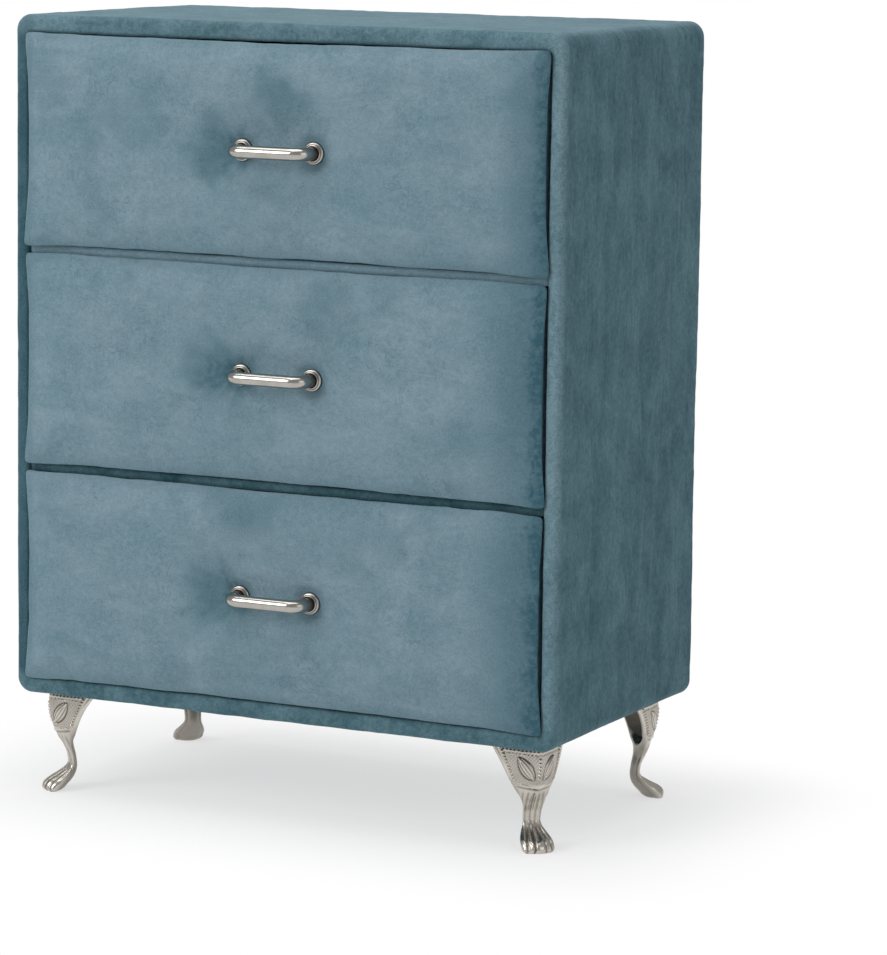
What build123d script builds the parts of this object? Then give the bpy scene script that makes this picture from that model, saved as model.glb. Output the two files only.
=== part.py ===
"""Small velvet jewelry chest: a wrapped case with three padded drawers on plated cabriole legs.

Sizes are in millimetres. Z is up, the floor is z = 0, the drawers face -Y and x = 0 is the middle.
"""

import os
from math import asin, cos, degrees, sin, sqrt

from build123d import *

# Case
CASE_WIDTH = 145.0
CASE_DEPTH = 80.0
CASE_HEIGHT = 165.0
CORNER_RADIUS = 3.8  # outer corners, seen from the front
FRONT_EDGE_RADIUS = 1.6  # outer front edge of the velvet
MOUTH_EDGE_RADIUS = 1.1  # front edge of the velvet round the drawers
VELVET = 0.7  # backing and pile together
TOP_BOARD = 3.0
BOTTOM_BOARD = 3.0
SIDE_BOARD = 2.4
BACK_BOARD = 2.0
DIVIDER_BOARD = 1.0
TURN_IN = 12.0  # velvet folded back into the case
STRIP_RECESS = 1.0  # velvet strips on the dividers stand back from the case front
STRIP_FIT = 0.1  # room at each end of a divider strip
STRIP_NOSE = 0.45  # rounding of a strip's front edges, as a share of its height

# Drawers
DRAWER_NAMES = ("bottom", "middle", "top")
FRONT_SIDE_GAP = 0.4  # beside each padded front
FRONT_TOP_GAP = 0.4
FRONT_BOTTOM_GAP = 0.4
RUNNING_GAP = 0.35  # under each drawer base
HEAD_ROOM = 5.0  # over the drawer sides
BACK_STOP_GAP = 0.4  # behind a closed drawer
FRONT_BOARD = 2.5
DRAWER_SIDE = 2.0
DRAWER_BACK = 2.0
DRAWER_BASE = 2.0
LINING = 0.8
LINING_FIT = 0.3  # round the mat on the drawer floor

# Padded fronts
BOARD_SETBACK = 2.2  # front boards stand behind the case front
CROWN_PROUD = 2.9  # velvet in front of the case at the middle of a pad
END_DROP = 1.0  # fall of the crown from the middle to the left and right rim
EDGE_DROP = 1.2  # fall of the crown from the middle to the top and bottom rim
DRAW_IN = 0.7  # the sides of a pad are drawn in between its corners
PAD_ROLL = 1.2  # rounded rim of the foam
PAD_CORNER_EXTRA = 0.8  # its corners, seen from the front, are rounder than its rim by this
GLUE_GAP = 0.1  # between foam and velvet
TUFT_PROUD = 1.0  # velvet in front of the case where the pull draws it in
TUFT_BALL = 16.0  # radius of the hollow drawn in by the pull

# Pulls
POST_SPACING = 18.8
BAR_DIAMETER = 3.1
BAR_REACH = 6.2  # from the velvet to the middle of the bar
BEND_RADIUS = 2.8
ROSETTE_DIAMETER = 5.4
ROSETTE_HEIGHT = 1.2
ROSETTE_ROUND = 0.7
ROSETTE_FIT = 0.1  # round the post
SEAT_FIT = 0.2  # round the rosette
SEAT_DEPTH = 0.2  # rosette pressed into the velvet
PULL_SCREW = 1.4
PULL_SCREW_GRIP = 2.6  # length in the post
PULL_SCREW_HEAD = 3.2
SCREW_HEAD_HEIGHT = 1.2
SCREW_HEAD_ROUND = 0.5
SCREW_FIT = 0.1  # round a screw

# Legs
LEG_HEIGHT = 25.0
LEG_INSET = 6.0  # knee behind both faces of the case corner
LEG_WING = 14.0  # along each face, from the knee
LEG_WALL = 1.2
LEG_PLATE = 1.4
LEG_SCREW = 2.0
LEG_SCREW_HEAD = 3.6
LEG_SCREW_BITE = 2.3  # length in the bottom board
LEG_SCREW_BACK = 0.77  # behind the knee, as a share of the knee depth
LEG_SCREW_SIDE = 0.26  # beside the diagonal, as a share of the knee depth
HOLLOW_OVERRUN = 0.2  # the hollow runs out through the back of the knee by this share of its depth
TOE_GROOVE = 0.5  # radius of the grooves between the toes

# Each row goes across a leg: drop as a share of the leg height, then front, back and half width as
# shares of the knee depth, counted outwards from the knee, and 0 for a corner up to 1 for a round.
LEG_SECTIONS = (
    (0.00, 0.00, -1.00, 1.00, 0.00),
    (0.17, 0.02, -0.83, 0.76, 0.08),
    (0.34, -0.11, -0.66, 0.48, 0.35),
    (0.46, -0.22, -0.65, 0.32, 0.65),
    (0.56, -0.37, -0.69, 0.25, 0.90),
    (0.68, -0.45, -0.73, 0.23, 1.00),
    (0.76, -0.38, -0.71, 0.27, 1.00),
    (0.82, -0.13, -0.66, 0.35, 1.00),
    (0.88, 0.09, -0.59, 0.42, 1.00),
    (0.94, 0.19, -0.49, 0.43, 1.00),
    (1.00, 0.13, -0.36, 0.36, 1.00),
)

# Outline across a leg, first for a corner and then for a round: width at the straight back, place of
# the widest point between back and front, and the shoulders' distance behind the front and width.
BACK_WIDTH = (1.00, 0.60)
SIDE_PLACE = (0.45, 0.45)
SIDE_WIDTH = (0.58, 1.00)
SHOULDER_BACK = (0.10, 0.24)
SHOULDER_WIDTH = (0.13, 0.58)

# Line of a groove between two toes: drop, then outwards and sideways, in the same shares
TOE_LINE = ((0.74, -0.36, 0.06), (0.86, 0.03, 0.13), (0.99, 0.21, 0.15))

# Levels and faces that follow from the sizes
case_bottom = LEG_HEIGHT
case_top = case_bottom + CASE_HEIGHT
case_middle = (case_bottom + case_top) / 2
pull_front = TUFT_PROUD + BAR_REACH + BAR_DIAMETER / 2
case_front = (pull_front - CASE_DEPTH) / 2
case_back = case_front + CASE_DEPTH

board_width = CASE_WIDTH - 2 * VELVET
board_height = CASE_HEIGHT - 2 * VELVET
board_radius = CORNER_RADIUS - VELVET
board_x = board_width / 2
board_bottom = case_bottom + VELVET
board_top = case_top - VELVET
board_front = case_front + VELVET
board_back = case_back - VELVET

inner_x = board_x - SIDE_BOARD
inner_bottom = board_bottom + BOTTOM_BOARD
inner_top = board_top - TOP_BOARD
inner_back = board_back - BACK_BOARD

mouth_x = inner_x - VELVET
mouth_bottom = inner_bottom + VELVET
mouth_top = inner_top - VELVET
strip_height = DIVIDER_BOARD + 2 * VELVET
drawer_count = len(DRAWER_NAMES)
opening_height = (mouth_top - mouth_bottom - (drawer_count - 1) * strip_height) / drawer_count
drawer_pitch = opening_height + strip_height

pad_width = 2 * (mouth_x - FRONT_SIDE_GAP - VELVET)
pad_height = opening_height - FRONT_TOP_GAP - FRONT_BOTTOM_GAP - 2 * VELVET
pad_corner = PAD_ROLL + PAD_CORNER_EXTRA
pad_back = case_front + BOARD_SETBACK
drawer_x = pad_width / 2 - DRAW_IN
drawer_front = pad_back + FRONT_BOARD
drawer_back = inner_back - BACK_STOP_GAP
pad_middle = mouth_bottom + FRONT_BOTTOM_GAP + VELVET + pad_height / 2
end_radius = ((pad_width / 2) ** 2 + END_DROP**2) / (2 * END_DROP)
edge_radius = ((pad_height / 2) ** 2 + EDGE_DROP**2) / (2 * EDGE_DROP)
crown_centre = case_front - CROWN_PROUD + VELVET + end_radius
tuft = case_front - TUFT_PROUD

knee_depth = LEG_WING / sqrt(2)
leg_screw_u = -LEG_SCREW_BACK * knee_depth
leg_screw_v = LEG_SCREW_SIDE * knee_depth


def front_plane(y, height):
    """Upright plane at this y, facing forward, with its origin at this height."""
    return Plane((0, y, height), x_dir=(1, 0, 0), z_dir=(0, -1, 0))


def save(part, name):
    """Labels a piece and writes its file."""
    part.label = name
    export_step(part, f"parts/{name}.step")


def board(x, y, z):
    """Straight board between the two values given for each axis."""
    with BuildPart() as piece:
        with Locations((sum(x) / 2, sum(y) / 2, sum(z) / 2)):
            Box(x[1] - x[0], y[1] - y[0], z[1] - z[0])
    return piece.part


def case_board(x, z):
    """Board of the case, rounded where it reaches a corner of the case."""
    with BuildPart() as piece:
        with BuildSketch(front_plane(board_front, case_middle)):
            RectangleRounded(board_width, board_height, board_radius)
            with Locations((sum(x) / 2, sum(z) / 2 - case_middle)):
                Rectangle(x[1] - x[0], z[1] - z[0], mode=Mode.INTERSECT)
        extrude(amount=board_front - board_back)
    return piece.part


def screw(diameter, length, head):
    """Pan-head screw: the head lies under z = 0 and the shank goes up."""
    with BuildPart() as piece:
        Cylinder(head / 2, SCREW_HEAD_HEIGHT, align=(Align.CENTER, Align.CENTER, Align.MAX))
        fillet(piece.edges().sort_by(Axis.Z)[0], SCREW_HEAD_ROUND)
        Cylinder(diameter / 2, length, align=(Align.CENTER, Align.CENTER, Align.MIN))
    return piece.part


def leg_section(plane, front, back, half_width, roundness):
    """Face across a leg: straight behind, with a cornered or a round front."""

    def between(corner, round_value):
        return corner + (round_value - corner) * roundness

    depth = front - back
    rear = half_width * between(*BACK_WIDTH)
    side_u = back + depth * between(*SIDE_PLACE)
    side_v = half_width * between(*SIDE_WIDTH)
    shoulder_u = front - depth * between(*SHOULDER_BACK)
    shoulder_v = half_width * between(*SHOULDER_WIDTH)
    with BuildSketch(plane) as section:
        with BuildLine():
            Line((back, -rear), (back, rear))
            ThreePointArc((back, rear), (side_u, side_v), (shoulder_u, shoulder_v))
            ThreePointArc((shoulder_u, shoulder_v), (front, 0), (shoulder_u, -shoulder_v))
            ThreePointArc((shoulder_u, -shoulder_v), (side_u, -side_v), (back, -rear))
        make_face()
    return section.sketch


def cabriole_leg(plane):
    """Hollow cast leg with a top plate; the plane's x points outwards along the corner's diagonal."""
    inset = LEG_WALL * sqrt(2)
    outer = []
    hollow = []
    for drop, front, back, half_width, roundness in LEG_SECTIONS:
        level = plane.offset(-drop * LEG_HEIGHT)
        knee = [share * knee_depth for share in (front, back, half_width)]
        outer.append(leg_section(level, *knee, roundness))
    for drop, front, back, half_width, _ in LEG_SECTIONS[:3]:
        level = plane.offset(-max(drop * LEG_HEIGHT, LEG_PLATE))
        hollow_front = front * knee_depth - inset
        hollow_back = (back - HOLLOW_OVERRUN) * knee_depth
        hollow_width = half_width / (front - back) * (hollow_front - hollow_back)
        hollow.append(leg_section(level, hollow_front, hollow_back, hollow_width, 0))
    with BuildPart() as leg:
        loft(sections=outer)
        loft(sections=hollow, mode=Mode.SUBTRACT)
        with Locations(plane):
            with Locations((leg_screw_u, leg_screw_v), (leg_screw_u, -leg_screw_v)):
                Cylinder(LEG_SCREW / 2 + SCREW_FIT, 2 * LEG_PLATE + SCREW_FIT, mode=Mode.SUBTRACT)
        for side in (-1, 1):
            points = [(u * knee_depth, side * v * knee_depth, -drop * LEG_HEIGHT) for drop, u, v in TOE_LINE]
            with BuildLine(plane) as groove:
                ThreePointArc(*points)
            with BuildSketch(Plane(groove.line @ 0, z_dir=groove.line % 0)):
                Circle(TOE_GROOVE)
            sweep(path=groove.line, mode=Mode.SUBTRACT)
    return leg.part


def cushion(grow, back):
    """Padded front of the bottom drawer, larger by grow than its foam, from its crown to this y."""
    right = pad_width / 2 + grow
    high = pad_height / 2 + grow
    crown = end_radius + grow
    rise = edge_radius + grow
    past = high + PAD_ROLL
    rim = crown - rise + sqrt(rise**2 - past**2)
    deep = crown_centre - back - BOARD_SETBACK
    turn = asin((right + PAD_ROLL) / deep)
    start = Plane(
        (0, crown_centre, pad_middle),
        x_dir=(-sin(turn), -cos(turn), 0),
        z_dir=(-cos(turn), sin(turn), 0),
    )
    with BuildPart() as pad:
        with BuildSketch(front_plane(back, pad_middle)) as outline:
            with BuildLine():
                ThreePointArc((-right, -high), (0, DRAW_IN - high), (right, -high))
                ThreePointArc((right, -high), (right - DRAW_IN, 0), (right, high))
                ThreePointArc((right, high), (0, high - DRAW_IN), (-right, high))
                ThreePointArc((-right, high), (DRAW_IN - right, 0), (-right, -high))
            make_face()
            fillet(outline.vertices(), pad_corner + grow)
        extrude(amount=back - case_front + 2 * CROWN_PROUD)
        with BuildSketch(start):
            with BuildLine():
                ThreePointArc((rim, -past), (crown, 0), (rim, past))
                Polyline((rim, past), (deep, past), (deep, -past), (rim, -past))
            make_face()
        revolve(axis=Axis(start.origin, (0, 0, 1)), revolution_arc=degrees(2 * turn), mode=Mode.INTERSECT)
        fillet(pad.faces().sort_by(Axis.Y)[0].edges(), PAD_ROLL + grow)
        with Locations((0, tuft - SEAT_DEPTH - TUFT_BALL, pad_middle)):
            ball = TUFT_BALL + VELVET - grow
            Cylinder(ball, POST_SPACING, rotation=(0, 90, 0), mode=Mode.SUBTRACT)
            with GridLocations(POST_SPACING, 0, 2, 1):
                Sphere(ball, mode=Mode.SUBTRACT)
        with BuildSketch(front_plane(tuft + VELVET - grow, pad_middle)):
            with GridLocations(POST_SPACING, 0, 2, 1):
                Circle(ROSETTE_DIAMETER / 2 + SEAT_FIT + VELVET - grow)
        extrude(amount=CROWN_PROUD, mode=Mode.SUBTRACT)
    return pad.part


os.makedirs("parts", exist_ok=True)

# Legs and their screws
leg_planes = {}
for end, y, outwards_y in (("front", case_front + LEG_INSET, -1), ("rear", case_back - LEG_INSET, 1)):
    for side, outwards_x in (("left", -1), ("right", 1)):
        knee = (outwards_x * (CASE_WIDTH / 2 - LEG_INSET), y, case_bottom)
        leg_planes[f"{end}_{side}_leg"] = Plane(knee, x_dir=(outwards_x, outwards_y, 0), z_dir=(0, 0, 1))

leg_screw_points = []
for name, plane in leg_planes.items():
    save(cabriole_leg(plane), name)
    for v in (-leg_screw_v, leg_screw_v):
        leg_screw_points.append(plane.from_local_coords(Vector(leg_screw_u, v, 0)))

leg_screw = screw(LEG_SCREW, LEG_PLATE + VELVET + LEG_SCREW_BITE, LEG_SCREW_HEAD)
with BuildPart() as leg_screws:
    for point in leg_screw_points:
        with Locations((point.X, point.Y, case_bottom - LEG_PLATE)):
            add(leg_screw)
save(leg_screws.part, "leg_screws")

# Case boards
save(case_board((-board_x, board_x), (inner_top, board_top)), "top_panel")
save(case_board((-board_x, -inner_x), (inner_bottom, inner_top)), "left_side_panel")
save(case_board((inner_x, board_x), (inner_bottom, inner_top)), "right_side_panel")
save(board((-inner_x, inner_x), (inner_back, board_back), (inner_bottom, inner_top)), "back_panel")

with BuildPart() as bottom_panel:
    add(case_board((-board_x, board_x), (board_bottom, inner_bottom)))
    for point in leg_screw_points:
        with Locations((point.X, point.Y, board_bottom)):
            Cylinder(LEG_SCREW / 2 + SCREW_FIT, 2 * (LEG_SCREW_BITE + SCREW_FIT), mode=Mode.SUBTRACT)
save(bottom_panel.part, "bottom_panel")

# Velvet over the case, folded round the front edges of the boards and into the mouth
with BuildPart() as case_wrap:
    with BuildSketch(front_plane(case_front, case_middle)):
        RectangleRounded(CASE_WIDTH, CASE_HEIGHT, CORNER_RADIUS)
    extrude(amount=case_front - board_back)
    fillet(case_wrap.faces().sort_by(Axis.Y)[0].edges(), FRONT_EDGE_RADIUS)
    with BuildSketch(front_plane(board_front, case_middle)):
        RectangleRounded(board_width, board_height, board_radius)
    extrude(amount=board_front - board_back, mode=Mode.SUBTRACT)
    with BuildSketch(front_plane(board_front, (inner_bottom + inner_top) / 2)):
        Rectangle(2 * inner_x, inner_top - inner_bottom)
    extrude(amount=-TURN_IN)
    with BuildSketch(front_plane(case_front, (mouth_bottom + mouth_top) / 2)):
        Rectangle(2 * mouth_x, mouth_top - mouth_bottom)
    extrude(amount=case_front - board_back, mode=Mode.SUBTRACT)
    front_face = case_wrap.faces().sort_by(Axis.Y)[0]
    fillet(front_face.inner_wires()[0].edges(), MOUTH_EDGE_RADIUS)
    for point in leg_screw_points:
        with Locations((point.X, point.Y, case_bottom)):
            Cylinder(LEG_SCREW / 2 + SCREW_FIT, 3 * VELVET, mode=Mode.SUBTRACT)
save(case_wrap.part, "case_wrap")

with BuildPart() as back_cover:
    with BuildSketch(front_plane(case_back, case_middle)):
        RectangleRounded(CASE_WIDTH, CASE_HEIGHT, CORNER_RADIUS)
    extrude(amount=VELVET)
save(back_cover.part, "back_cover")

# Dividers, cut back at the front corners for the folded velvet, and their velvet strips
divider_front = case_front + STRIP_RECESS + VELVET
divider_shoulder = board_front + TURN_IN
strip_x = mouth_x - STRIP_FIT
for number, name in ((1, "lower"), (2, "upper")):
    divider_bottom = mouth_bottom + number * drawer_pitch - VELVET - DIVIDER_BOARD
    divider_middle = divider_bottom + DIVIDER_BOARD / 2
    with BuildPart() as divider:
        with BuildSketch(Plane.XY.offset(divider_bottom)):
            with BuildLine():
                front_corner = (strip_x, divider_front)
                shoulder = (strip_x, divider_shoulder)
                Polyline((0, divider_front), front_corner, shoulder, (inner_x, divider_shoulder))
                Polyline((inner_x, divider_shoulder), (inner_x, inner_back), (0, inner_back))
                mirror(about=Plane.YZ)
            make_face()
        extrude(amount=DIVIDER_BOARD)
    save(divider.part, f"{name}_divider")

    with BuildPart() as strip:
        with Locations((0, (divider_front - VELVET + divider_shoulder) / 2, divider_middle)):
            Box(2 * strip_x, divider_shoulder - divider_front + VELVET, strip_height)
        fillet(strip.faces().sort_by(Axis.Y)[0].edges().filter_by(Axis.X), STRIP_NOSE * strip_height)
        with Locations((0, (divider_front + divider_shoulder) / 2, divider_middle)):
            Box(2 * strip_x, divider_shoulder - divider_front, DIVIDER_BOARD, mode=Mode.SUBTRACT)
    save(strip.part, f"{name}_divider_wrap")

# Pieces of the bottom drawer, which the other drawers repeat
floor = mouth_bottom + RUNNING_GAP
floor_top = floor + DRAWER_BASE
side_top = mouth_bottom + opening_height - HEAD_ROOM
side_inner_x = drawer_x - DRAWER_SIDE
back_inner = drawer_back - DRAWER_BACK
lining_x = side_inner_x - LINING_FIT

with BuildPart() as front_board:
    with BuildSketch(front_plane(drawer_front, pad_middle)):
        RectangleRounded(2 * drawer_x, pad_height - 2 * DRAW_IN, pad_corner)
        with GridLocations(POST_SPACING, 0, 2, 1):
            Circle(PULL_SCREW / 2 + SCREW_FIT, mode=Mode.SUBTRACT)
    extrude(amount=FRONT_BOARD)

with BuildPart() as front_pad:
    add(cushion(0, pad_back))
    with BuildSketch(front_plane(pad_back, pad_middle)):
        with GridLocations(POST_SPACING, 0, 2, 1):
            Circle(PULL_SCREW / 2 + SCREW_FIT)
    extrude(amount=BOARD_SETBACK + CROWN_PROUD, mode=Mode.SUBTRACT)

with BuildPart() as front_cover:
    add(cushion(VELVET, drawer_front))
    add(cushion(GLUE_GAP, drawer_front), mode=Mode.SUBTRACT)
    with BuildSketch(front_plane(pad_back, pad_middle)):
        with GridLocations(POST_SPACING, 0, 2, 1):
            Circle(PULL_SCREW / 2 + SCREW_FIT)
    extrude(amount=BOARD_SETBACK + CROWN_PROUD, mode=Mode.SUBTRACT)

with BuildPart() as handle:
    with BuildLine(Plane.XY.offset(pad_middle)) as bend:
        FilletPolyline(
            (-POST_SPACING / 2, tuft),
            (-POST_SPACING / 2, tuft - BAR_REACH),
            (POST_SPACING / 2, tuft - BAR_REACH),
            (POST_SPACING / 2, tuft),
            radius=BEND_RADIUS,
        )
    with BuildSketch(Plane(bend.line @ 0, z_dir=bend.line % 0)):
        Circle(BAR_DIAMETER / 2)
    sweep(path=bend.line)
    with BuildSketch(front_plane(tuft, pad_middle)):
        with GridLocations(POST_SPACING, 0, 2, 1):
            Circle(PULL_SCREW / 2 + SCREW_FIT)
    extrude(amount=PULL_SCREW_GRIP + SCREW_FIT, mode=Mode.SUBTRACT)

with BuildPart() as rosettes:
    with BuildSketch(front_plane(tuft, pad_middle)):
        with GridLocations(POST_SPACING, 0, 2, 1):
            Circle(ROSETTE_DIAMETER / 2)
            Circle(BAR_DIAMETER / 2 + ROSETTE_FIT, mode=Mode.SUBTRACT)
    extrude(amount=ROSETTE_HEIGHT)
    rims = rosettes.edges().filter_by(GeomType.CIRCLE).group_by(Axis.Y)[0].group_by(SortBy.RADIUS)[-1]
    fillet(rims, ROSETTE_ROUND)

pull_screw = screw(PULL_SCREW, drawer_front - tuft + PULL_SCREW_GRIP, PULL_SCREW_HEAD)
with BuildPart() as handle_screws:
    with Locations(front_plane(drawer_front, pad_middle)):
        with GridLocations(POST_SPACING, 0, 2, 1):
            add(pull_screw)

box_y = (drawer_front, drawer_back)
drawer_pieces = {
    "front_board": front_board.part,
    "front_pad": front_pad.part,
    "front_cover": front_cover.part,
    "left_side": board((-drawer_x, -side_inner_x), box_y, (floor_top, side_top)),
    "right_side": board((side_inner_x, drawer_x), box_y, (floor_top, side_top)),
    "back": board((-side_inner_x, side_inner_x), (back_inner, drawer_back), (floor_top, side_top)),
    "base": board((-drawer_x, drawer_x), box_y, (floor, floor_top)),
    "lining": board(
        (-lining_x, lining_x),
        (drawer_front + LINING_FIT, back_inner - LINING_FIT),
        (floor_top, floor_top + LINING),
    ),
    "handle": handle.part,
    "rosettes": rosettes.part,
    "handle_screws": handle_screws.part,
}
for number, drawer in enumerate(DRAWER_NAMES):
    for name, piece in drawer_pieces.items():
        save(Pos(0, 0, number * drawer_pitch) * piece, f"{drawer}_drawer_{name}")
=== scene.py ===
"""Looks of the small velvet jewelry chest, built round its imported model.

Shapes are worked out in millimetres in the row frame and become metres when a mesh is made.
"""

import math
from itertools import product

import bmesh
import bpy
import numpy as np
from mathutils import Matrix, Vector


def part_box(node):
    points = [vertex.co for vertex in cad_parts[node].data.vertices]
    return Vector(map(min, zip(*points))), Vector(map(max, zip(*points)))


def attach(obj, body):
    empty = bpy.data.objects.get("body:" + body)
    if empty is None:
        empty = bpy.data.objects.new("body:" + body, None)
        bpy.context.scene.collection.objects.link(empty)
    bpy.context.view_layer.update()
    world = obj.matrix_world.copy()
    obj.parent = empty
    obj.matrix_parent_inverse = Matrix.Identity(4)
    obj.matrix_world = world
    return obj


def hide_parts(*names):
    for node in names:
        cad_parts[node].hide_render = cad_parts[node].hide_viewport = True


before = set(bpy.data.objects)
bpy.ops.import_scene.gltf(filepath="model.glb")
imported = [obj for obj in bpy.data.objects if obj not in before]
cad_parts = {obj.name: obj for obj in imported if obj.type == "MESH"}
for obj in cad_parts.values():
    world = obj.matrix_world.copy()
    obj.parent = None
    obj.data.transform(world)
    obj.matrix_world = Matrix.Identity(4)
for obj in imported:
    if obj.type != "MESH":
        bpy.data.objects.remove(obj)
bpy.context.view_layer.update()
MM = 0.001


def node_box(name):
    """Lowest and highest corner of a node, in millimetres."""
    low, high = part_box(name)
    return np.array(low) / MM, np.array(high) / MM


# Sizes that the pieces share
VELVET = 0.7
DRAWERS = ("top", "middle", "bottom")
wrap_low, wrap_high = node_box("case_wrap")
case_front, case_back = wrap_low[1], node_box("back_cover")[1][1]
board_front, board_back = case_front + VELVET, wrap_high[1]
inner_x = node_box("right_side_panel")[0][0]
inner_bottom, inner_top = node_box("bottom_panel")[1][2], node_box("top_panel")[0][2]


# Helpers for meshes
SEED_SHIFT = 17.31
HASH_X, HASH_Y, HASH_Z, HASH_SEED, HASH_MIX = 374761393, 668265263, 1442695041, 97531, 1274126177


def add_object(name, data):
    """New object in the scene."""
    obj = bpy.data.objects.new(name, data)
    bpy.context.scene.collection.objects.link(obj)
    return obj


def turn_outwards(mesh, close=False):
    """Makes a mesh smooth with its faces outwards, and first closes its open edge if asked to."""
    work = bmesh.new()
    work.from_mesh(mesh)
    if close:
        rim = [edge for edge in work.edges if edge.is_boundary]
        bmesh.ops.contextual_create(work, geom=rim)
    bmesh.ops.recalc_face_normals(work, faces=work.faces)
    work.to_mesh(mesh)
    work.free()
    mesh.update()
    mesh.shade_smooth()


def add_mesh(name, points, faces):
    """New smooth mesh object from points in millimetres, with its faces turned outwards."""
    mesh = bpy.data.meshes.new(name)
    corners = [list(map(int, face)) for face in faces]
    mesh.from_pydata((np.asarray(points) * MM).tolist(), [], corners)
    turn_outwards(mesh)
    return add_object(name, mesh)


def mesh_points(mesh, kind="co"):
    """Places or normals of a mesh's points, in millimetres or without a unit."""
    values = np.empty(3 * len(mesh.vertices))
    mesh.vertices.foreach_get(kind, values)
    return values.reshape(-1, 3) / (MM if kind == "co" else 1)


def push(obj, heights):
    """Moves each point along its normal by its height in millimetres."""
    mesh = obj.data
    points = mesh_points(mesh) + mesh_points(mesh, "normal") * heights[:, None]
    mesh.vertices.foreach_set("co", (points * MM).ravel())
    mesh.update()


def grid_faces(rows, columns, rows_closed=False, columns_closed=False):
    """Four-cornered faces of a grid of points that is stored row after row."""
    row, column = np.meshgrid(
        np.arange(rows if rows_closed else rows - 1),
        np.arange(columns if columns_closed else columns - 1),
        indexing="ij",
    )
    next_row, next_column = (row + 1) % rows, (column + 1) % columns
    corners = (row * columns + column, row * columns + next_column)
    corners += (next_row * columns + next_column, next_row * columns + column)
    return np.stack(corners, axis=-1).reshape(-1, 4)


def end_faces(rows, columns):
    """One face across the first row of a grid of points and one across its last."""
    last = (rows - 1) * columns
    return [list(range(columns)), [last + n for n in range(columns)]]


def smooth_noise(points, cell, seed):
    """Smooth noise from -1 to 1 at these points, with bumps about one cell apart."""
    place = np.asarray(points) / cell + SEED_SHIFT * seed
    low = np.floor(place).astype(np.int64)
    part = place - low
    part = part * part * (3 - 2 * part)
    total = np.zeros(len(place))
    for corner in product((0, 1), repeat=3):
        x, y, z = (low + corner).T
        mixed = x * HASH_X + y * HASH_Y + z * HASH_Z + seed * HASH_SEED
        mixed = (mixed ^ (mixed >> 13)) * HASH_MIX
        mixed = (mixed ^ (mixed >> 16)) & 0xFFFF
        total += (mixed / 32767.5 - 1) * np.prod(np.where(corner, part, 1 - part), axis=1)
    return total


def waves(points, layers, shift=0):
    """Sum of smooth noise from (height, cell, seed) layers, whose seeds are moved on by shift."""
    return sum(height * smooth_noise(points, cell, seed + shift) for height, cell, seed in layers)


def ramp(value, start, end):
    """Smooth step from 0 at start to 1 at end."""
    share = np.clip((value - start) / (end - start), 0, 1)
    return share * share * (3 - 2 * share)


def bump(distance, width):
    """Rounded ridge, 1 high at distance 0."""
    return np.exp(-((distance / width) ** 2))


def paint(obj, name, values):
    """Stores a value from 0 to 1 at each point of a mesh for its material."""
    layer = obj.data.attributes.new(name, "FLOAT", "POINT")
    layer.data.foreach_set("value", np.clip(values, 0, 1).astype(np.float32))


# Helpers for materials


class Nodes:
    """A material with a Principled shader, and short calls to add and join its nodes."""

    def __init__(self, name):
        self.material = bpy.data.materials.new(name)
        self.material.use_nodes = True
        self.tree = self.material.node_tree
        self.shader = self.tree.nodes["Principled BSDF"]
        self.output = self.tree.nodes["Material Output"]

    def join(self, socket, value):
        """Links an output to a socket, or sets the socket's own value."""
        if isinstance(value, bpy.types.NodeSocket):
            self.tree.links.new(value, socket)
        else:
            socket.default_value = value

    def add(self, kind, inputs=None, **settings):
        """New node with these settings and inputs."""
        node = self.tree.nodes.new("ShaderNode" + kind)
        for key, value in settings.items():
            setattr(node, key, value)
        for key, value in (inputs or {}).items():
            self.join(node.inputs[key], value)
        return node

    def place(self, scale=(1, 1, 1), turn=(0, 0, 0)):
        """Object coordinates, scaled and turned."""
        coordinates = self.add("TexCoord").outputs["Object"]
        inputs = {"Vector": coordinates, "Scale": scale, "Rotation": turn}
        return self.add("Mapping", inputs).outputs[0]

    def noise(
        self, size_mm, detail=2.0, roughness=0.5, scale=(1, 1, 1), turn=(0, 0, 0), distortion=0.0
    ):
        """Noise with features of about this size, stretched where scale is below 1."""
        inputs = {"Vector": self.place(scale, turn), "Scale": 1 / (size_mm * MM), "Detail": detail}
        inputs |= {"Roughness": roughness, "Distortion": distortion}
        return self.add("TexNoise", inputs).outputs["Fac"]

    def span(self, value, low, high, to_low=0.0, to_high=1.0):
        """Value between low and high, spread over another range and kept in it."""
        inputs = {"Value": value, "From Min": low, "From Max": high}
        inputs |= {"To Min": to_low, "To Max": to_high}
        return self.add("MapRange", inputs, interpolation_type="SMOOTHSTEP").outputs[0]

    def math(self, operation, a, b=0.0):
        """Result of a sum with one or two values."""
        return self.add("Math", {0: a, 1: b}, operation=operation).outputs[0]

    def weighted(self, *parts):
        """Sum of (value, weight) pairs."""
        total = None
        for value, weight in parts:
            part = self.math("MULTIPLY", value, weight)
            total = part if total is None else self.math("ADD", total, part)
        return total

    def mix(self, share, a, b, blend="MIX"):
        """Mix of two colours."""
        node = self.add("Mix", data_type="RGBA", blend_type=blend)
        for number, value in ((0, share), (6, a), (7, b)):
            self.join(node.inputs[number], value)
        return node.outputs[2]

    def painted(self, attribute):
        """Values that paint() stored under this name."""
        return self.add("Attribute", attribute_name=attribute).outputs["Fac"]

    def bumps(self, layers):
        """Normal from (height, strength, depth in mm) layers, one over the other."""
        normal = None
        for height, strength, depth in layers:
            inputs = {"Height": height, "Strength": strength, "Distance": depth * MM}
            if normal is not None:
                inputs["Normal"] = normal
            normal = self.add("Bump", inputs).outputs[0]
        self.tree.links.new(normal, self.shader.inputs["Normal"])

    def set(self, **inputs):
        """Sets or joins inputs of the shader."""
        for key, value in inputs.items():
            self.join(self.shader.inputs[key.replace("_", " ")], value)


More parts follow.
